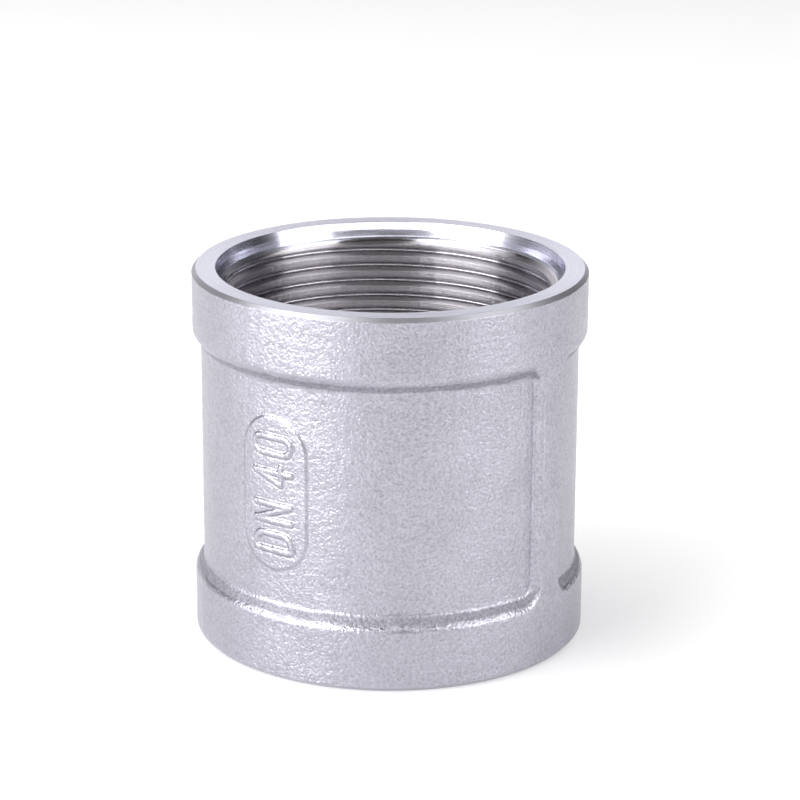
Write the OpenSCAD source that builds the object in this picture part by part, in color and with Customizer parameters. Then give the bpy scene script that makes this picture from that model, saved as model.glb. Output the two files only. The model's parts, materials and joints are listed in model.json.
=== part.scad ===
// Banded pipe coupling, 1 1/2 inch (DN 40), one cast stainless steel piece.
// The axis is Z. The origin is the centre of the lower end face, and the size mark faces -Y.

/* [Body] */
// Length from end face to end face
length = 53.3; // [50:0.1:58]
// Diameter over the end bands
band_d = 56; // [55.2:0.1:60]
// Diameter of the barrel between the bands
barrel_d = 53.6; // [52.8:0.1:54.2]
// Height of a band, up to the middle of its shoulder
band_h = 9.8; // [7:0.1:12]
// Axial run of the shoulder between band and barrel
shoulder_run = 2; // [1:0.1:3]
// Turned chamfer round the outside of each end face
edge_chamfer = 0.54; // [0.2:0.02:1]

/* [Ribs] */
// Width across the top of a rib
rib_w = 4.2; // [2:0.1:8]
// Extra width of a rib at its foot, on each side
rib_flare = 0.7; // [0.2:0.1:1.5]
// Radius of the panel corners, between rib and band
corner_r = 2.6; // [1:0.1:4]

/* [Thread] */
// Thread pitch, 11 threads to the inch
pitch = 2.309; // [2.2:0.001:2.4]
// Diameter at the bottom of the thread groove
major_d = 47.803; // [47.4:0.001:48]
// Diameter over the thread crests
minor_d = 45.48; // [45:0.01:45.8]
// Depth from the end face to the last thread
thread_depth = 21.4; // [16:0.1:23]
// Turns over which the groove fades out at its inner end
fade_turns = 1.5; // [0.5:0.25:3]
// Diameter of the plain bore in the middle
middle_d = 44.8; // [43:0.1:44.8]

/* [Mouth] */
// Diameter of the mouth at the end face
mouth_d = 49.4; // [48.8:0.1:50]
// Diameter at the bottom of the mouth's chamfer
mouth_throat_d = 48.6; // [48:0.1:48.7]
// Depth of the mouth's chamfer
mouth_chamfer = 1.1; // [0.3:0.05:1.2]
// Depth at which the thread reaches its full height
lead_in = 2.8; // [1.8:0.1:3.2]

/* [Size mark] */
// Height of the raised pad
pad_h = 22.1; // [18:0.1:26]
// Width of the raised pad
pad_w = 10.8; // [9:0.1:12]
// Height of the pad above the barrel
pad_rise = 0.25; // [0.1:0.05:0.4]
// Height of the characters
mark_h = 7; // [5:0.1:7.4]
// Stroke width of the characters
mark_stroke = 1; // [0.7:0.05:1.2]
// Height of the characters above the pad
mark_rise = 0.3; // [0.1:0.05:0.4]

/* [Hidden] */
$fn = 96;
over = 1;                        // how far a cutter runs past what it cuts
band_r = band_d / 2;
barrel_r = barrel_d / 2;
minor_r = minor_d / 2;
major_r = major_d / 2;
middle_r = middle_d / 2;
throat_r = major_r + 0.1;        // at the foot of the mouth's wall, where it turns in to the first crest
crest_run = 0.6;                 // axial run of that turn
step_h = minor_r - middle_r;     // the 45 degree step from the thread to the middle bore
flank = tan(27.5);               // slope of a 55 degree thread's flanks
pitch_r = (minor_r + major_r) / 2;
shoulder_steps = 8;
turn_steps = 36;                 // groove sections in a turn
thread_start = 27;               // angle at which the groove's centre line crosses the upper end face
arc_steps = 6;                   // steps along an arc in a character
thread_end = thread_depth - pitch / 2;
one_helix = 360 * length / pitch; // turns the lower groove onto the upper groove's helix
glyph_w = 0.48 * mark_h;
glyph_gap = 0.13 * mark_h;
word_gap = 0.3 * mark_h;
bar = mark_stroke / 2;

// The shoulder is half a cosine wave, from the band's radius in to the barrel's.
function shoulder(z, up) = [for (i = [0 : shoulder_steps])
    let (t = i / shoulder_steps)
    [barrel_r + (band_r - barrel_r) * (1 + cos(180 * (up ? t : 1 - t))) / 2, z + shoulder_run * (t - 0.5)]];

// The outside, turned about the axis.
module outside() {
    rotate_extrude() polygon(concat(
        [[0, 0], [band_r - edge_chamfer, 0], [band_r, edge_chamfer]],
        shoulder(band_h, true),
        shoulder(length - band_h, false),
        [[band_r, length - edge_chamfer], [band_r - edge_chamfer, length], [0, length]]));
}

// One rib along +X, flush with the bands, and the fillets where it meets them.
module rib() {
    foot = rib_w / 2 + rib_flare;
    intersection() {
        translate([0, 0, band_h]) cylinder(r = band_r, h = length - 2 * band_h);
        union() {
            linear_extrude(length) polygon([
                [barrel_r - over, -foot], [barrel_r - 0.1, -foot], [band_r + over, -rib_w / 2],
                [band_r + over, rib_w / 2], [barrel_r - 0.1, foot], [barrel_r - over, foot]]);
            for (side = [-1, 1], end = [0, 1])
                translate([0, 0, length / 2]) mirror([0, 0, end]) mirror([0, (1 - side) / 2, 0])
                    translate([barrel_r - 2 * over, foot - rib_flare, band_h - length / 2])
                        rotate([90, 0, 90]) linear_extrude(band_r) corner();
        }
    }
}

// The web between a rib and a band: a square with a quarter circle cut from it.
module corner() {
    difference() {
        square(corner_r);
        translate([corner_r, corner_r]) circle(corner_r);
    }
}

// Stands a drawing on the -Y side, reading upwards, and wraps it onto a cylinder.
module wrapped(radius) {
    intersection() {
        translate([0, 0, band_h]) cylinder(r = radius, h = length - 2 * band_h);
        translate([0, 0, length / 2]) rotate([90, 0, 0]) rotate([0, 0, 90])
            linear_extrude(band_r) children();
    }
}

// A slot shape that is centred, with its length along X.
module stadium(l, w) {
    square([l - w, w], center = true);
    for (side = [-1, 1]) translate([side * (l - w) / 2, 0]) circle(w / 2);
}

// Points along an arc.
function arc(centre, r, from, to) = [for (i = [0 : arc_steps])
    let (a = from + (to - from) * i / arc_steps) centre + r * [cos(a), sin(a)]];

// A straight stroke with round ends.
module stroke(a, b) {
    turn = atan2(b.y - a.y, b.x - a.x);
    polygon(concat(arc(a, bar, turn + 90, turn + 270), arc(b, bar, turn - 90, turn + 90)));
}

// A ring-shaped character: its corners have one radius on the left and another on the right.
module ring_glyph(left_r, right_r) {
    difference() {
        rounded(0, left_r, right_r);
        rounded(mark_stroke, max(0.1, left_r - mark_stroke), right_r - mark_stroke);
    }
}

module rounded(inset, left_r, right_r) {
    x0 = inset;
    y0 = inset;
    x1 = glyph_w - inset;
    y1 = mark_h - inset;
    polygon(concat(
        arc([x0 + left_r, y0 + left_r], left_r, 180, 270), arc([x1 - right_r, y0 + right_r], right_r, -90, 0),
        arc([x1 - right_r, y1 - right_r], right_r, 0, 90), arc([x0 + left_r, y1 - left_r], left_r, 90, 180)));
}

// The characters stand in a box glyph_w wide and mark_h high, and the strokes run inside it.
module letter_d() ring_glyph(bar, 0.6 * glyph_w);

module digit_0() ring_glyph(0.499 * glyph_w, 0.499 * glyph_w);

module letter_n() {
    x1 = glyph_w - bar;
    y1 = mark_h - bar;
    stroke([bar, bar], [bar, y1]);
    stroke([bar, y1], [x1, bar]);
    stroke([x1, bar], [x1, y1]);
}

module digit_4() {
    x1 = glyph_w - bar;
    post = x1 - 0.24 * glyph_w;
    arm = 0.3 * mark_h;
    stroke([post, bar], [post, mark_h - bar]);
    stroke([post, mark_h - bar], [bar, arm]);
    stroke([bar, arm], [x1, arm]);
}

// The nominal size, DN 40, centred.
module size_mark() {
    pair = 2 * glyph_w + glyph_gap;
    translate([-pair - word_gap / 2, -mark_h / 2]) {
        letter_d();
        translate([glyph_w + glyph_gap, 0]) letter_n();
        translate([pair + word_gap, 0]) digit_4();
        translate([pair + word_gap + glyph_w + glyph_gap, 0]) digit_0();
    }
}

// The groove's half width at radius r: it narrows outwards between its flanks.
function groove_half(r) = pitch / 4 + (pitch_r - r) * flank;

// One section of the groove, at a number of turns from the end face and at its share of full depth.
function groove_section(turn, share) =
    let (inner = minor_r - 0.4, outer = minor_r + (major_r - minor_r) * share)
    [for (p = [[inner, 1], [outer, 1], [outer, -1], [inner, -1]])
        [p.x * cos(360 * turn), -p.x * sin(360 * turn), p.y * groove_half(p.x) - pitch * turn]];

// The right-hand helical groove: it starts above the end face at z = 0 and runs down clockwise.
module groove(start_angle) {
    first = -1;
    last = thread_end / pitch;
    n = floor((last - first) * turn_steps);
    sections = [for (i = [0 : n])
        let (turn = first + i / turn_steps)
        groove_section(turn, min(1, 0.04 + (last - turn) / fade_turns))];
    rotate(start_angle) polyhedron(
        points = [for (s = sections) each s],
        faces = concat(
            [[3, 2, 1, 0], [4 * n, 4 * n + 1, 4 * n + 2, 4 * n + 3]],
            [for (i = [0 : n - 1], k = [0 : 3]) let (a = 4 * i + k, b = 4 * i + (k + 1) % 4)
                each [[a, b + 4, a + 4], [a, b, b + 4]]]));
}

// What is cut from the upper end: the bore to the thread crests, the mouth and the groove.
module end_cut(start_angle) {
    translate([0, 0, length]) {
        rotate_extrude() polygon([
            [0, over], [mouth_d / 2, over], [mouth_d / 2, 0], [mouth_throat_d / 2, -mouth_chamfer],
            [throat_r, crest_run - lead_in], [minor_r, -lead_in], [minor_r, -thread_depth],
            [middle_r, -thread_depth - step_h], [0, -thread_depth - step_h]]);
        groove(start_angle);
    }
}

module coupling_body() {
    color([0.75, 0.75, 0.79]) difference() {
        union() {
            outside();
            rib();
            mirror([1, 0, 0]) rib();
            wrapped(barrel_r + pad_rise) stadium(pad_h, pad_w);
            wrapped(barrel_r + pad_rise + mark_rise) size_mark();
        }
        translate([0, 0, -over]) cylinder(r = middle_r, h = length + 2 * over);
        end_cut(thread_start);
        translate([0, 0, length]) rotate([180, 0, 0]) end_cut(one_helix - thread_start);
    }
}

coupling_body();
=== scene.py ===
"""A banded pipe coupling in cast stainless steel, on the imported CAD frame.

The frame gives the length, the band's radius and the thread's crests. This script makes the cast skin, the
turned ends and the cut thread as one closed mesh of rows and columns round the axis, in the CAD node's place.
Lengths are in millimetres, but in metres for the lamps and the floor. Heights are above the lower face.
Angles are polar, in radians, from +X towards +Y. The ribs lie at 0 and pi, and the size mark at -pi/2.
"""

import json
import math

import bpy
import numpy as np
from mathutils import Matrix, Vector


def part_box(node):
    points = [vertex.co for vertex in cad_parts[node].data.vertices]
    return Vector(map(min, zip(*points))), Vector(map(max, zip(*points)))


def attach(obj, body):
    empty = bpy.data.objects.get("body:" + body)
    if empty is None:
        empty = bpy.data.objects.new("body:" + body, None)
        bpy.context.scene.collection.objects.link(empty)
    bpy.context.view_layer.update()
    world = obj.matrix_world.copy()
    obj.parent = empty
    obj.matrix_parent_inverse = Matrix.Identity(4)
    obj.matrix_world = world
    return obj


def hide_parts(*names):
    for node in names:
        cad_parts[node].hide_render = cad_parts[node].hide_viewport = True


MM = 0.001
TAU = 2 * math.pi

# ---- Sizes from the frame ----
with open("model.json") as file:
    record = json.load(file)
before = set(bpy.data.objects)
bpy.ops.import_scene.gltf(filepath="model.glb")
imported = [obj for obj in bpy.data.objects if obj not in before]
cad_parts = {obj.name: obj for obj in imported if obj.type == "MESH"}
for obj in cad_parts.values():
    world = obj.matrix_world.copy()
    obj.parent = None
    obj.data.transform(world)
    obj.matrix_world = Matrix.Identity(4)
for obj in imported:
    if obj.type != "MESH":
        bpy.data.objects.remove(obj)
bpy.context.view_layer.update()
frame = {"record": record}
low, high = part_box("coupling_body")
LENGTH = (high.z - low.z) / MM
BAND_R = (high.x - low.x) / 2 / MM
top_thread = next(m for m in frame["record"]["mounts"] if m["name"] == "top_thread")
CREST_R = top_thread["dims"]["r_mm"]

# ---- Sizes that the frame doesn't hold ----
PANEL_DEPTH = 1.2
BARREL_R = BAND_R - PANEL_DEPTH
BAND_H = 9.8  # up to the middle of the shoulder
SHOULDER_RUN = 1.75
RIB_HALF = 2.15  # half the width across the top
RIB_RUN = 0.75  # how far a rib's flank runs out
CORNER_R = 2.6
EDGE_CHAMFER = 0.54
PAD_LENGTH, PAD_WIDTH, PAD_RISE = 22.1, 10.8, 0.25
PAD_RUN = 0.35  # how far the pad's edge runs out
MARK_H, MARK_STROKE, MARK_RISE = 7.0, 1.0, 0.3
MARK_GROOVE, GROOVE_AT, GROOVE_WIDTH = 0.06, 1.15, 0.25  # depth, then place and width in half strokes

PITCH = 2.309
MAJOR_R = 47.803 / 2
HALF_ANGLE = math.radians(27.5)
ROOT_ROUND = 0.1373 * PITCH
THREAD_START = math.radians(27)  # where the groove crosses the upper end face
THREAD_DEPTH = 21.4
FADE = 1.5 * PITCH
CREST_TRIM = 0.06  # how far the crests stand back from the CAD's
MIDDLE_R = CREST_R - 0.34
MIDDLE_STEP, STEP_CUT = 0.9, 0.05  # the step to the plain middle bore: its run, and how far its top is cut
MOUTH_R, THROAT_R, MOUTH_CHAMFER = 24.7, 24.3, 1.1
BEVEL_FOOT, LOOSE_FOOT = 2.4, 2.6  # depth of the foot of the mouth's bevel, where it is tight and loose
# Depths and radii down the mouth: the chamfer, the wall, the bevel and the cone that trims the first crest.
MOUTH_TOP = [(0, MOUTH_R), (MOUTH_CHAMFER, THROAT_R)]
TIGHT_MOUTH = MOUTH_TOP + [(2.0, 24.12), (BEVEL_FOOT, 23.85), (2.8, 22.95), (3.0, 22.0)]
LOOSE_MOUTH = MOUTH_TOP + [(2.15, 24.06), (LOOSE_FOOT, 23.78), (3.1, 23.4), (4.0, 22.6)]
UPPER_LOOSE, LOWER_LOOSE = math.radians(216), math.radians(80)  # where the mouth was cut deepest

# Layers of noise on a radius: height, cell size, seed and stretch round the axis.
CAST_WAVES = [(0.050, 11.0, 13, 1.0), (0.022, 2.4, 14, 1.0), (0.020, 1.1, 15, 1.0)]
CREST_TEARS = [(0.04, 0.4, 21, 1.6), (0.02, 2.0, 23, 3.0)]
MOUTH_CHATTER = (0.01, 0.8, 24, 6.0)
MIDDLE_WAVE = (0.03, 3.0, 25, 1.0)
# How far the edges of panels, shoulders and characters wander, across and up.
WANDER, CLIMB = (0.10, 2.2, 11, 1.0), (0.10, 2.6, 12, 1.0)

TOUCH = 1e-6  # a radius this near the turned cone counts as turned
# Spacing of the mesh's rows in millimetres and of its columns in degrees, and how far the closer ones reach.
EDGE_ROWS, DETAIL_ROWS, PLAIN_ROWS = 0.06, 0.14, 0.25
MOUTH_CORNER_ROWS, MOUTH_ROWS, THREAD_ROWS = 0.035, 0.06, 0.1
PAD_COLUMNS, FLANK_COLUMNS, PLAIN_COLUMNS = 0.24, 0.3, 0.5
FACE_RINGS, MIDDLE_RINGS = 18, 24
PAD_REACH, PAD_END_REACH, FLANK_REACH = 0.6, 0.5, 1.2
EDGE_REACH, CORNER_REACH, FOOT_REACH = 0.25, 0.1, 0.2


# ---- Rows, columns and noise ----
def stations(start, stop, spacing):
    """Values from start to stop, as far apart as spacing() says at each."""
    values = [start]
    while values[-1] < stop:
        values.append(values[-1] + spacing(values[-1]))
    values = np.array(values)
    return start + (values - start) * (stop - start) / (values[-1] - start)


def turn_to(angle, centre):
    """The signed angle from centre, between -pi and pi."""
    return (angle - centre + math.pi) % TAU - math.pi


def noise(angle, height, cell, seed, stretch=1.0):
    """Noise from about -1 to 1 on the wall. Its cells have this size, times stretch round the axis.

    The lattice starts at the lowest height given. The mesh asks for one row at a time, so there the noise
    repeats with each cell upwards and steps where two cells meet. Round the axis it is smooth.
    """
    cells = max(3, round(TAU * BAND_R / cell / stretch))
    u = (angle % TAU) / TAU * cells
    v = height / cell + 1000.0 + seed * 0.37
    base = math.floor(float(v.min()))
    rows = int(float(v.max()) - base) + 2
    turns = np.random.default_rng(seed).uniform(0, TAU, (cells, rows + 1))
    iu, iv = np.floor(u).astype(int) % cells, np.floor(v).astype(int) - base
    fu, fv = u - np.floor(u), v - np.floor(v)

    def pull(du, dv):
        a = turns[(iu + du) % cells, iv + dv]
        return np.cos(a) * (fu - du) + np.sin(a) * (fv - dv)

    def ease(t):
        return t * t * t * (t * (t * 6 - 15) + 10)

    su, sv = ease(fu), ease(fv)
    lower = pull(0, 0) * (1 - su) + pull(1, 0) * su
    upper = pull(0, 1) * (1 - su) + pull(1, 1) * su
    return 1.5 * (lower * (1 - sv) + upper * sv)


def layer(angle, height, wave):
    """One layer of noise at its height."""
    rise, cell, seed, stretch = wave
    return rise * noise(angle, height, cell, seed, stretch)


def ramp(t, round_off=0.5):
    """0 before 0, 1 after 1 and straight between, with both corners rounded."""

    def integral(x):
        half = round_off / 2
        return np.where(x < -half, 0, np.where(x > half, x, (x + half) ** 2 / (2 * round_off)))

    return integral(t) - integral(t - 1)


def soft_max(a, b, blend):
    """The larger of the two, with the corner between them rounded."""
    gap = np.clip(0.5 + (a - b) / (2 * blend), 0, 1)
    return b + (a - b) * gap + blend * gap * (1 - gap)


# ---- The cast outside ----
def panel_edge(across, up):
    """From 0 in a sunken panel to 1 on the bands and ribs. across and up are from the panel's centre."""
    a = np.abs(across) - (math.pi / 2 * BAND_R - RIB_HALF - RIB_RUN / 2)
    b = np.abs(up) - (LENGTH / 2 - BAND_H)
    a_in, b_in = np.maximum(a + CORNER_R, 0), np.maximum(b + CORNER_R, 0)
    reach = np.hypot(a_in, b_in)
    beyond = np.where(reach > 0, reach - CORNER_R, np.maximum(a, b))
    share = np.where(reach > 0, a_in**2 / np.maximum(reach, 1e-9) ** 2, 0.0)
    run = RIB_RUN * share + SHOULDER_RUN * (1 - share)
    return ramp(beyond / run + 0.5)


def to_segment(x, y, a, b):
    """Distance from a straight stroke's centre line."""
    run = (b[0] - a[0], b[1] - a[1])
    t = ((x - a[0]) * run[0] + (y - a[1]) * run[1]) / (run[0] ** 2 + run[1] ** 2)
    t = np.clip(t, 0, 1)
    return np.hypot(x - a[0] - t * run[0], y - a[1] - t * run[1])


def to_ring(x, y, w, h, left, right):
    """Distance from the centre line of a ring-shaped character with these corner radii."""
    px, py = x - w / 2, y - h / 2
    corner = np.where(px < 0, left, right)
    qx, qy = np.abs(px) - w / 2 + corner, np.abs(py) - h / 2 + corner
    outside = np.hypot(np.maximum(qx, 0), np.maximum(qy, 0))
    return np.abs(outside + np.minimum(np.maximum(qx, qy), 0) - corner)


def size_mark(along, across):
    """Distance from the nearest stroke of the mark, DN 40. along and across are from the pad's centre."""
    w, gap, space, bar = 0.48 * MARK_H, 0.13 * MARK_H, 0.3 * MARK_H, MARK_STROKE / 2
    pair = 2 * w + gap
    start = -pair - space / 2
    x0, x1, y0, y1 = bar, w - bar, bar, MARK_H - bar
    y = across + MARK_H / 2

    def letter(place):
        return along - start - place

    d, n, four, zero = (letter(p) for p in (0, w + gap, pair + space, pair + space + w + gap))
    post, arm = x1 - 0.24 * w, 0.3 * MARK_H
    strokes = [
        to_ring(d - x0, y - y0, x1 - x0, y1 - y0, 0.05, 0.6 * w - bar),
        to_segment(n, y, (x0, y0), (x0, y1)),
        to_segment(n, y, (x0, y1), (x1, y0)),
        to_segment(n, y, (x1, y0), (x1, y1)),
        to_segment(four, y, (post, y0), (post, y1)),
        to_segment(four, y, (post, y1), (x0, arm)),
        to_segment(four, y, (x0, arm), (x1, arm)),
        to_ring(zero - x0, y - y0, x1 - x0, y1 - y0, w / 2 - bar, w / 2 - bar),
    ]
    return np.minimum.reduce(strokes)


def cast_radius(angle, height):
    """The outside as cast, before the ends are turned."""
    wander = layer(angle, height, WANDER)
    climb = layer(angle, height, CLIMB)
    side = np.where(np.sin(angle) < 0, -math.pi / 2, math.pi / 2)
    across = turn_to(angle, side) * BAND_R + wander
    up = height - LENGTH / 2 + climb
    edge = panel_edge(across, up)
    radius = BARREL_R + (BAND_R - BARREL_R) * edge

    front = turn_to(angle, -math.pi / 2) * BARREL_R
    px, py = np.maximum(np.abs(up) - (PAD_LENGTH - PAD_WIDTH) / 2, 0), np.abs(front + wander * 0.5)
    pad = np.hypot(px, py) - PAD_WIDTH / 2
    radius = radius + PAD_RISE * ramp(0.5 - pad / PAD_RUN, 0.6)
    # The mark reads upwards, with its tops towards -X.
    stroke = size_mark(height - LENGTH / 2 + 0.4 * climb, -front + 0.4 * wander) / (MARK_STROKE / 2)
    radius = radius + MARK_RISE * np.sqrt(np.clip(1 - stroke**2, 0, 1))
    radius = radius - MARK_GROOVE * np.exp(-(((stroke - GROOVE_AT) / GROOVE_WIDTH) ** 2))

    for wave in CAST_WAVES:
        radius = radius + layer(angle, height, wave)
    return radius


def outer_radius(angle, height):
    """The finished outside: the casting, cut back by a turned chamfer at each end."""
    cone = BAND_R - EDGE_CHAMFER + np.minimum(height, LENGTH - height)
    return np.minimum(cast_radius(angle, height), cone)


# ---- The bore ----
def thread_radius(angle, height, depth):
    """The cut thread: 55 degree flanks, round roots, and flat crests that the tap has torn a little."""
    turn = (height - LENGTH) / PITCH - (angle - THREAD_START) / TAU
    from_groove = np.abs(turn - np.round(turn)) * PITCH
    root_centre = MAJOR_R - ROOT_ROUND
    half = ROOT_ROUND * math.cos(HALF_ANGLE)
    root = root_centre + np.sqrt(np.maximum(ROOT_ROUND**2 - from_groove**2, 0))
    flank = root_centre + ROOT_ROUND * math.sin(HALF_ANGLE) - (from_groove - half) / math.tan(HALF_ANGLE)
    cut = np.where(from_groove < half, root, flank)
    crest = CREST_R + CREST_TRIM + sum(layer(angle, height, wave) for wave in CREST_TEARS)
    share = np.clip((THREAD_DEPTH - PITCH / 2 - depth) / FADE, 0, 1)
    return soft_max(crest + (cut - crest) * share, crest, 0.02)


def looseness(angle, loose_side):
    """1 on the side where the mouth was cut deepest, down to 0 on the other."""
    return ramp(0.5 + 0.8 * np.cos(turn_to(angle, loose_side)))


def mouth_radius(angle, depth, loose_side):
    """The turned mouth: a chamfer, a steep wall, a narrow bevel and a cone that trims the first crest."""
    tight, loose = (np.interp(depth, *zip(*outline)) for outline in (TIGHT_MOUTH, LOOSE_MOUTH))
    return tight + (loose - tight) * looseness(angle, loose_side)


def mouth_finish(angle, depth, loose_side):
    """The turned finish runs down to the foot of the bevel."""
    foot = BEVEL_FOOT + (LOOSE_FOOT - BEVEL_FOOT) * looseness(angle, loose_side)
    return np.where(depth < foot, TURNED, THREAD)


def bore_radius(angle, height, depth, loose_side):
    """One end of the bore: the mouth and the thread, whichever was cut deeper."""
    mouth = mouth_radius(angle, depth, loose_side)
    if depth < MOUTH_CHAMFER:
        return mouth
    mouth = mouth + layer(angle, height, MOUTH_CHATTER)
    return soft_max(thread_radius(angle, height, depth), mouth, 0.04)


# ---- One closed mesh ----
def columns():
    """Angles round the axis, closer together at the pad and at the ribs' flanks."""
    pad_reach = (PAD_WIDTH / 2 + PAD_REACH) / BARREL_R
    flank = (RIB_HALF + RIB_RUN / 2) / BAND_R

    def spacing(angle):
        if abs(turn_to(angle, -math.pi / 2)) < pad_reach:
            return math.radians(PAD_COLUMNS)
        near = min(abs(abs(turn_to(angle, rib)) - flank) for rib in (0, math.pi))
        return math.radians(FLANK_COLUMNS if near < FLANK_REACH / BAND_R else PLAIN_COLUMNS)

    return stations(0, TAU, spacing)[:-1]


def outer_heights():
    """Heights up the outside, closer together at the chamfers, the shoulders and the pad."""

    def spacing(height):
        from_end = min(height, LENGTH - height)
        if from_end < EDGE_CHAMFER + EDGE_REACH:
            return EDGE_ROWS
        if abs(from_end - BAND_H) < SHOULDER_RUN or abs(height - LENGTH / 2) < PAD_LENGTH / 2 + PAD_END_REACH:
            return DETAIL_ROWS
        return PLAIN_ROWS

    return stations(0, LENGTH, spacing)


def bore_depths():
    """Depths into one end, closer together at the mouth."""

    def spacing(depth):
        if depth < CORNER_REACH or abs(depth - MOUTH_CHAMFER) < CORNER_REACH:
            return MOUTH_CORNER_ROWS
        if depth < LOOSE_FOOT + FOOT_REACH:
            return MOUTH_ROWS
        return THREAD_ROWS

    return stations(0, THREAD_DEPTH, spacing)


SKIN, TURNED, THREAD = range(3)  # slots of the mesh's materials


def coupling_rows(angle):
    """The radius, height and material of each row, once round the closed section."""
    rows = []
    flat_r = BAND_R - EDGE_CHAMFER

    def add(radius, height, material):
        rows.append((np.broadcast_to(radius, angle.shape), height, np.broadcast_to(material, angle.shape)))

    for height in outer_heights():
        radius = outer_radius(angle, np.full_like(angle, height))
        cone = flat_r + min(height, LENGTH - height)
        add(radius, height, np.where(radius > cone - TOUCH, TURNED, SKIN))
    face = np.linspace(flat_r, MOUTH_R, FACE_RINGS)[1:-1]
    for radius in face:
        add(radius, LENGTH, TURNED)
    depths = bore_depths()
    for depth in depths:
        height = LENGTH - depth
        radius = bore_radius(angle, np.full_like(angle, height), depth, UPPER_LOOSE)
        add(radius, height, mouth_finish(angle, depth, UPPER_LOOSE))
    for height in np.linspace(LENGTH - THREAD_DEPTH, THREAD_DEPTH, MIDDLE_RINGS)[1:-1]:
        from_thread = min(LENGTH - THREAD_DEPTH - height, height - THREAD_DEPTH)
        step = CREST_R + STEP_CUT + (MIDDLE_R - CREST_R) * ramp(from_thread / MIDDLE_STEP)
        add(step + layer(angle, np.full_like(angle, height), MIDDLE_WAVE), height, THREAD)
    for depth in depths[::-1]:
        radius = bore_radius(angle, np.full_like(angle, depth), depth, LOWER_LOOSE)
        add(radius, depth, mouth_finish(angle, depth, LOWER_LOOSE))
    for radius in face[::-1]:
        add(radius, 0.0, TURNED)
    return rows


def coupling_mesh(materials):
    """The rows joined into one mesh that closes on itself both ways."""
    angle = columns()
    rows = coupling_rows(angle)
    n_rows, n_columns = len(rows), len(angle)
    radius = np.array([r for r, _, _ in rows])
    height = np.array([h for _, h, _ in rows])[:, None]
    points = np.stack(
        [radius * np.cos(angle), radius * np.sin(angle), np.broadcast_to(height, radius.shape)], axis=-1)
    row, column = np.meshgrid(np.arange(n_rows), np.arange(n_columns), indexing="ij")
    next_row, next_column = (row + 1) % n_rows, (column + 1) % n_columns
    corners = np.stack(
        [row * n_columns + column, row * n_columns + next_column,
         next_row * n_columns + next_column, next_row * n_columns + column], axis=-1).reshape(-1, 4)
    kind = np.array([m for _, _, m in rows])
    this_kind, next_kind = kind[row, column], kind[next_row, column]
    face_kind = np.where((this_kind == SKIN) | (next_kind == SKIN), SKIN, np.maximum(this_kind, next_kind))

    mesh = bpy.data.meshes.new("coupling")
    mesh.vertices.add(n_rows * n_columns)
    mesh.vertices.foreach_set("co", (points.reshape(-1) * MM).astype(np.float32))
    mesh.loops.add(len(corners) * 4)
    mesh.loops.foreach_set("vertex_index", corners.reshape(-1).astype(np.int32))
    mesh.polygons.add(len(corners))
    mesh.polygons.foreach_set("loop_start", np.arange(0, len(corners) * 4, 4, dtype=np.int32))
    mesh.polygons.foreach_set("material_index", face_kind.reshape(-1).astype(np.int32))
    mesh.polygons.foreach_set("use_smooth", np.ones(len(corners), dtype=bool))
    for material in materials:
        mesh.materials.append(material)
    mesh.update(calc_edges=True)
    mesh.validate()
    return mesh


# ---- Materials: the darker and the lighter tone of each, then a function for each ----
SKIN_TONES = (0.435, 0.425, 0.484, 1), (0.475, 0.464, 0.528, 1)
FACE_TONES = (0.59, 0.595, 0.69, 1), (0.67, 0.675, 0.77, 1)
CHAMFER_TONE = (0.44, 0.44, 0.48, 1)
THREAD_TONES = (0.45, 0.43, 0.455, 1), (0.56, 0.54, 0.575, 1)


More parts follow.
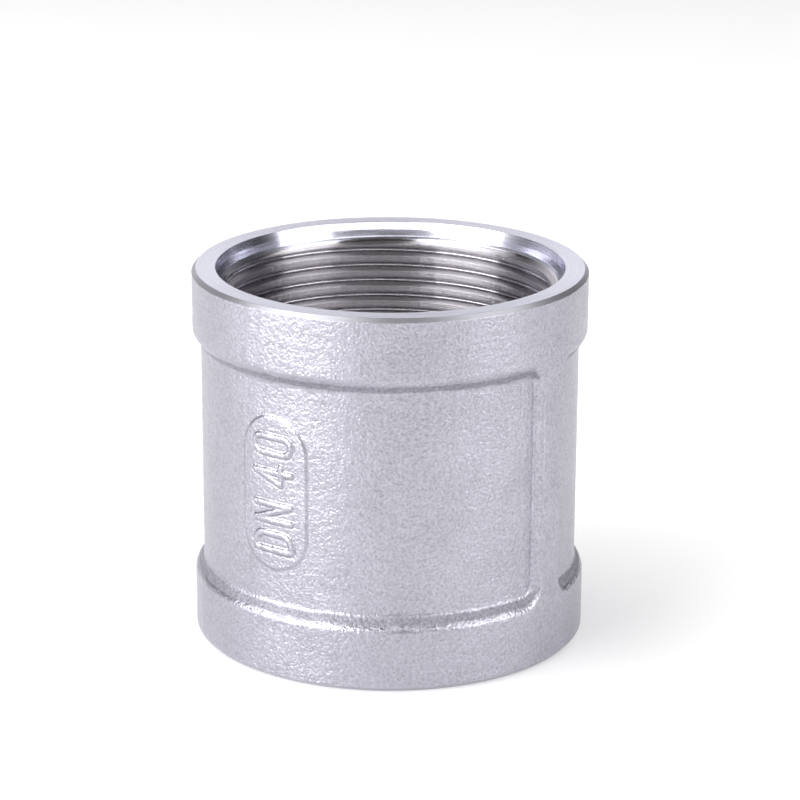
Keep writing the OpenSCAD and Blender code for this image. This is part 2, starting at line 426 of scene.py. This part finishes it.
class Nodes:
    """A short way to build one material's nodes."""

    def __init__(self, name):
        self.material = bpy.data.materials.new(name)
        self.material.use_nodes = True
        self.tree = self.material.node_tree
        self.shader = self.tree.nodes["Principled BSDF"]
        self.shader.inputs["Metallic"].default_value = 1.0
        self.place = self.add("ShaderNodeTexCoord").outputs["Object"]

    def add(self, kind, inputs=None, **settings):
        node = self.tree.nodes.new(kind)
        for key, value in settings.items():
            setattr(node, key, value)
        for key, value in (inputs or {}).items():
            if isinstance(value, bpy.types.NodeSocket):
                self.tree.links.new(value, node.inputs[key])
            else:
                node.inputs[key].default_value = value
        return node

    def noise(self, size, detail=2.0, vector=None):
        """Noise whose features are about this many millimetres across."""
        inputs = {"Vector": vector or self.place, "Scale": 1 / (size * MM), "Detail": detail}
        return self.add("ShaderNodeTexNoise", inputs).outputs["Fac"]

    def maths(self, operation, a, b=0.0):
        return self.add("ShaderNodeMath", {0: a, 1: b}, operation=operation).outputs[0]

    def spread(self, value, low, high):
        """Noise lies mostly between 0.3 and 0.7: this maps that to low and high."""
        inputs = {"Value": value, "From Min": 0.3, "From Max": 0.7, "To Min": low, "To Max": high}
        return self.add("ShaderNodeMapRange", inputs).outputs["Result"]

    def step(self, value, zero_at, one_at):
        """0 at one value, 1 at the other and smooth between."""
        inputs = {"Value": value, "From Min": zero_at, "From Max": one_at}
        return self.add("ShaderNodeMapRange", inputs, interpolation_type="SMOOTHSTEP").outputs["Result"]

    def bump(self, height, distance, below=None):
        """A bump of this many millimetres, on top of another."""
        inputs = {"Height": height, "Distance": distance * MM, "Strength": 1.0}
        if below is not None:
            inputs["Normal"] = below
        return self.add("ShaderNodeBump", inputs).outputs["Normal"]

    def mix(self, share, a, b):
        node = self.add("ShaderNodeMix", data_type="RGBA")
        for socket, value in ((0, share), (6, a), (7, b)):
            if isinstance(value, bpy.types.NodeSocket):
                self.tree.links.new(value, node.inputs[socket])
            else:
                node.inputs[socket].default_value = value
        return node.outputs[2]

    def brushed_round(self, amount):
        """Tool marks that run round the axis, and spread reflections across themselves."""
        self.shader.inputs["Anisotropic"].default_value = amount
        self.shader.inputs["Anisotropic Rotation"].default_value = 0.25
        tangent = self.add("ShaderNodeTangent", direction_type="RADIAL", axis="Z")
        self.connect("Tangent", tangent.outputs[0])

    def connect(self, socket, value):
        self.tree.links.new(value, self.shader.inputs[socket])


def from_axis(n):
    """Distance from the axis, and x, y and z."""
    x, y, z = (n.add("ShaderNodeSeparateXYZ", {0: n.place}).outputs[i] for i in range(3))
    return n.maths("SQRT", n.maths("ADD", n.maths("MULTIPLY", x, x), n.maths("MULTIPLY", y, y))), x, y, z


def cast_skin():
    """Blasted casting: soft silver with an orange-peel grain and a random tone at the grain, with painted
    shade in the pits and at the shoulders' feet.
    """
    n = Nodes("cast_skin")
    tone = n.spread(n.noise(6.0, 3.0), 0.0, 1.0)
    clean = n.mix(tone, *SKIN_TONES)
    pits = n.noise(0.38, 2.0)
    radius, _, _, z = from_axis(n)
    foot_r, shoulder_at = BARREL_R + 0.45, LENGTH / 2 - BAND_H
    from_foot = n.maths("ABSOLUTE", n.maths("SUBTRACT", radius, foot_r * MM))
    from_middle = n.maths("ABSOLUTE", n.maths("SUBTRACT", z, LENGTH / 2 * MM))
    at_foot = n.step(from_foot, 0.42 * MM, 0.25 * MM)
    by_band = n.step(from_middle, (shoulder_at - 1.6) * MM, (shoulder_at - 0.9) * MM)
    # The shoulders' feet are rougher, and their base colour is darkened as painted shade in the recess.
    rough_shaded_foot = n.maths("MULTIPLY", at_foot, by_band)
    # The pits' noise gives a random tone and also darkens the pits as painted shade. The shoulders' feet take
    # off more, as painted shade.
    shade = n.maths("SUBTRACT", n.spread(pits, 0.79, 1.11), n.maths("MULTIPLY", rough_shaded_foot, 0.22))
    colour = n.add("ShaderNodeVectorMath", {0: clean, "Scale": shade}, operation="SCALE").outputs[0]
    n.connect("Base Color", colour)
    finish = n.spread(n.noise(1.2, 3.0), 0.30, 0.38)
    n.connect("Roughness", n.maths("ADD", finish, n.maths("MULTIPLY", rough_shaded_foot, 0.30)))
    peel = n.bump(n.noise(0.9, 2.0), 0.07)
    n.connect("Normal", n.bump(pits, 0.105, peel))
    return n.material


def lathe_vector(n, across, around):
    """Coordinates that vary fast across a turned face and slowly round the axis."""
    radius, x, y, z = from_axis(n)
    slant = n.maths("ADD", radius, n.maths("MULTIPLY", z, 1.37))
    parts = {0: n.maths("MULTIPLY", x, 1 / around), 1: n.maths("MULTIPLY", y, 1 / around),
             2: n.maths("MULTIPLY", slant, 1 / across)}
    return n.add("ShaderNodeCombineXYZ", parts).outputs[0]


def turned_face():
    """The turned ends: bright, with faint tool rings, a duller outer chamfer and a smoother mouth."""
    n = Nodes("turned_face")
    rings = n.noise(1.0, 3.0, lathe_vector(n, 0.12, 9.0))
    tone = n.spread(rings, 0.0, 1.0)
    face = n.mix(tone, *FACE_TONES)
    flat_r = BAND_R - EDGE_CHAMFER
    chamfer = n.step(from_axis(n)[0], (flat_r - 0.05) * MM, (flat_r + 0.05) * MM)
    n.connect("Base Color", n.mix(chamfer, face, CHAMFER_TONE))
    finish = n.spread(n.noise(1.0, 2.0, lathe_vector(n, 0.3, 5.0)), 0.24, 0.32)
    mouth = n.step(from_axis(n)[0], (MOUTH_R + 0.05) * MM, (MOUTH_R - 0.05) * MM)
    change = n.maths("SUBTRACT", n.maths("MULTIPLY", chamfer, 0.22), n.maths("MULTIPLY", mouth, 0.04))
    n.connect("Roughness", n.maths("ADD", finish, change))
    n.brushed_round(0.7)
    n.connect("Normal", n.bump(rings, 0.0012))
    return n.material


def cut_thread():
    """The cut thread: smooth roots, flanks with tool lines, and torn, duller crests."""
    n = Nodes("cut_thread")
    radius = from_axis(n)[0]
    ragged = n.maths("ADD", radius, n.maths("MULTIPLY", n.noise(0.5, 2.0), 0.15 * MM))
    inputs = {"Value": ragged, "From Min": (CREST_R + 0.28) * MM, "From Max": (CREST_R + 0.14) * MM}
    torn = n.add("ShaderNodeMapRange", inputs).outputs["Result"]
    lines = n.noise(1.0, 3.0, lathe_vector(n, 0.10, 6.0))
    tone = n.spread(n.noise(0.5, 3.0, lathe_vector(n, 0.5, 1.5)), 0.0, 1.0)
    n.connect("Base Color", n.mix(tone, *THREAD_TONES))
    root = n.step(radius, (MAJOR_R - 0.45) * MM, (MAJOR_R - 0.30) * MM)
    smooth = n.spread(n.noise(0.6, 2.0), 0.31, 0.37)
    change = n.maths("SUBTRACT", n.maths("MULTIPLY", torn, 0.08), n.maths("MULTIPLY", root, 0.17))
    n.connect("Roughness", n.maths("ADD", smooth, change))
    n.brushed_round(1.0)
    tears = n.maths("MULTIPLY", n.noise(0.3, 2.0), torn)
    n.connect("Normal", n.bump(tears, 0.06, n.bump(lines, 0.0012)))
    return n.material


coupling = bpy.data.objects.new("coupling", coupling_mesh([cast_skin(), turned_face(), cut_thread()]))
bpy.context.scene.collection.objects.link(coupling)
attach(coupling, "root")
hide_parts("coupling_body")


# ---- Camera ----
CAMERA_SIDE = math.radians(36.3)  # how far the camera stands round from -Y, towards +X
CAMERA_OUT, CAMERA_UP = 403.1, 161.65
AIM_RIGHT, AIM_UP = 1.448, 33.26
CAMERA_ROLL = math.radians(0.28)
LENS, SENSOR = 133.0, 36.0

toward_camera = Vector((math.sin(CAMERA_SIDE), -math.cos(CAMERA_SIDE), 0))
right = Vector((math.cos(CAMERA_SIDE), math.sin(CAMERA_SIDE), 0))
up = Vector((0, 0, 1))


def place(out, sideways, height):
    """A point given from the camera's side: metres towards the camera, to its right and above the floor."""
    return toward_camera * out + right * sideways + up * height


def aim(thing, position, target, roll=0.0):
    """Puts a camera or lamp at position, looking at target."""
    back = (position - target).normalized()
    side = up.cross(back).normalized()
    top = back.cross(side)
    x_axis = side * math.cos(roll) + top * math.sin(roll)
    y_axis = top * math.cos(roll) - side * math.sin(roll)
    thing.matrix_world = Matrix.Translation(position) @ Matrix((x_axis, y_axis, back)).transposed().to_4x4()


camera = bpy.data.objects.new("camera", bpy.data.cameras.new("camera"))
bpy.context.scene.collection.objects.link(camera)
camera.data.lens, camera.data.sensor_width = LENS, SENSOR
aim(camera, place(CAMERA_OUT * MM, 0, CAMERA_UP * MM), place(0, AIM_RIGHT * MM, AIM_UP * MM), CAMERA_ROLL)
bpy.context.scene.camera = camera


# ---- Floor and light ----
WALL_COLOUR, CEILING_COLOUR = (1.0, 0.99, 1.02, 1), (0.055, 0.048, 0.042, 1)
OVERHEAD_HEIGHT = 0.85
LAMP_TARGET = Vector((0, 0, 0.03))
FLOOR_HALF = 4.0
FLOOR_DROP = 0.0001  # keeps the floor clear of the part's lower face
# Patches of the walls: degrees round from the camera to its right, degrees up, reach, and the share of light
# that is left there. The last patch is a little brighter than the walls.
PATCHES = [(115, 0, 55, 0.05), (-115, 5, 38, 0.3), (8, 8, 45, 0.1), (180, 15, 50, 1.1)]


def softbox(name, position, size, level):
    """A rectangular lamp that looks this bright and faces the part's middle."""
    lamp = bpy.data.lights.new(name, "AREA")
    lamp.shape = "RECTANGLE"
    lamp.size, lamp.size_y = size
    lamp.energy = level * math.pi * size[0] * size[1]
    thing = bpy.data.objects.new(name, lamp)
    bpy.context.scene.collection.objects.link(thing)
    aim(thing, position, LAMP_TARGET)
    return thing


def floor():
    """A pale floor that is lit evenly, as on a light table, and is see-through from below."""
    half = FLOOR_HALF
    corners = [(-half, -half, 0), (half, -half, 0), (half, half, 0), (-half, half, 0)]
    mesh = bpy.data.meshes.new("floor")
    mesh.from_pydata(corners, [], [(0, 1, 2, 3)])
    material = bpy.data.materials.new("pale_floor")
    material.use_nodes = True
    tree = material.node_tree
    shader = tree.nodes["Principled BSDF"]
    shader.inputs["Base Color"].default_value = (0.8, 0.8, 0.8, 1)
    shader.inputs["Roughness"].default_value = 1.0
    shader.inputs["Emission Color"].default_value = (1.0, 0.985, 1.0, 1)
    shader.inputs["Emission Strength"].default_value = 0.20
    clear = tree.nodes.new("ShaderNodeBsdfTransparent")
    side = tree.nodes.new("ShaderNodeNewGeometry")
    mix = tree.nodes.new("ShaderNodeMixShader")
    tree.links.new(side.outputs["Backfacing"], mix.inputs[0])
    tree.links.new(shader.outputs[0], mix.inputs[1])
    tree.links.new(clear.outputs[0], mix.inputs[2])
    tree.links.new(mix.outputs[0], tree.nodes["Material Output"].inputs["Surface"])
    mesh.materials.append(material)
    thing = bpy.data.objects.new("floor", mesh)
    bpy.context.scene.collection.objects.link(thing)
    thing.location.z = -FLOOR_DROP


def studio_world():
    """White walls with a few dimmer patches, and a dark ceiling."""
    world = bpy.data.worlds.new("studio")
    bpy.context.scene.world = world
    world.use_nodes = True
    tree = world.node_tree
    background = tree.nodes["Background"]
    look = tree.nodes.new("ShaderNodeTexCoord").outputs["Generated"]
    split = tree.nodes.new("ShaderNodeSeparateXYZ")
    walls = tree.nodes.new("ShaderNodeValToRGB")
    tree.links.new(look, split.inputs[0])
    tree.links.new(split.outputs[2], walls.inputs[0])
    stops = walls.color_ramp.elements
    stops[0].position, stops[0].color = 0.38, WALL_COLOUR
    stops[1].position, stops[1].color = 0.62, CEILING_COLOUR
    colour = walls.outputs[0]  # one patch after another dims this
    for around, height, reach, level in PATCHES:
        turn, rise = math.radians(around), math.radians(height)
        flat = math.cos(rise)
        centre = place(math.cos(turn) * flat, math.sin(turn) * flat, math.sin(rise))
        dot = tree.nodes.new("ShaderNodeVectorMath")
        dot.operation = "DOT_PRODUCT"
        dot.inputs[1].default_value = centre
        tree.links.new(look, dot.inputs[0])
        fade = tree.nodes.new("ShaderNodeMapRange")
        fade.interpolation_type = "SMOOTHSTEP"
        tree.links.new(dot.outputs["Value"], fade.inputs["Value"])
        fade.inputs["From Min"].default_value = math.cos(math.radians(reach))
        fade.inputs["From Max"].default_value = math.cos(math.radians(reach * 0.3))
        fade.inputs["To Min"].default_value = 1.0
        fade.inputs["To Max"].default_value = level
        dim = tree.nodes.new("ShaderNodeVectorMath")
        dim.operation = "SCALE"
        tree.links.new(colour, dim.inputs[0])
        tree.links.new(fade.outputs["Result"], dim.inputs["Scale"])
        colour = dim.outputs[0]
    tree.links.new(colour, background.inputs["Color"])


def overhead(name, out, sideways, turn, size, level):
    """A softbox that faces down, turned by these degrees from the camera's line."""
    position = place(out, sideways, OVERHEAD_HEIGHT)
    lamp = softbox(name, position, size, level)
    spin = math.atan2(toward_camera.y, toward_camera.x) - math.radians(90 - turn)
    lamp.matrix_world = Matrix.Translation(position) @ Matrix.Rotation(spin, 4, "Z")


floor()
studio_world()
softbox("left_box", place(0.55, -0.85, 0.32), (0.9, 0.6), 6.2)
softbox("right_box", place(0.45, 0.85, 0.30), (0.7, 0.5), 3.2)
softbox("front_box", place(1.05, 0.0, 0.62), (1.7, 0.24), 3.6)
overhead("overhead_left", -0.064, -0.444, -12, (0.62, 0.85), 3.4)
overhead("overhead_right", -0.085, 0.555, 20, (0.62, 0.90), 2.2)
bpy.context.scene.view_settings.view_transform = "Standard"
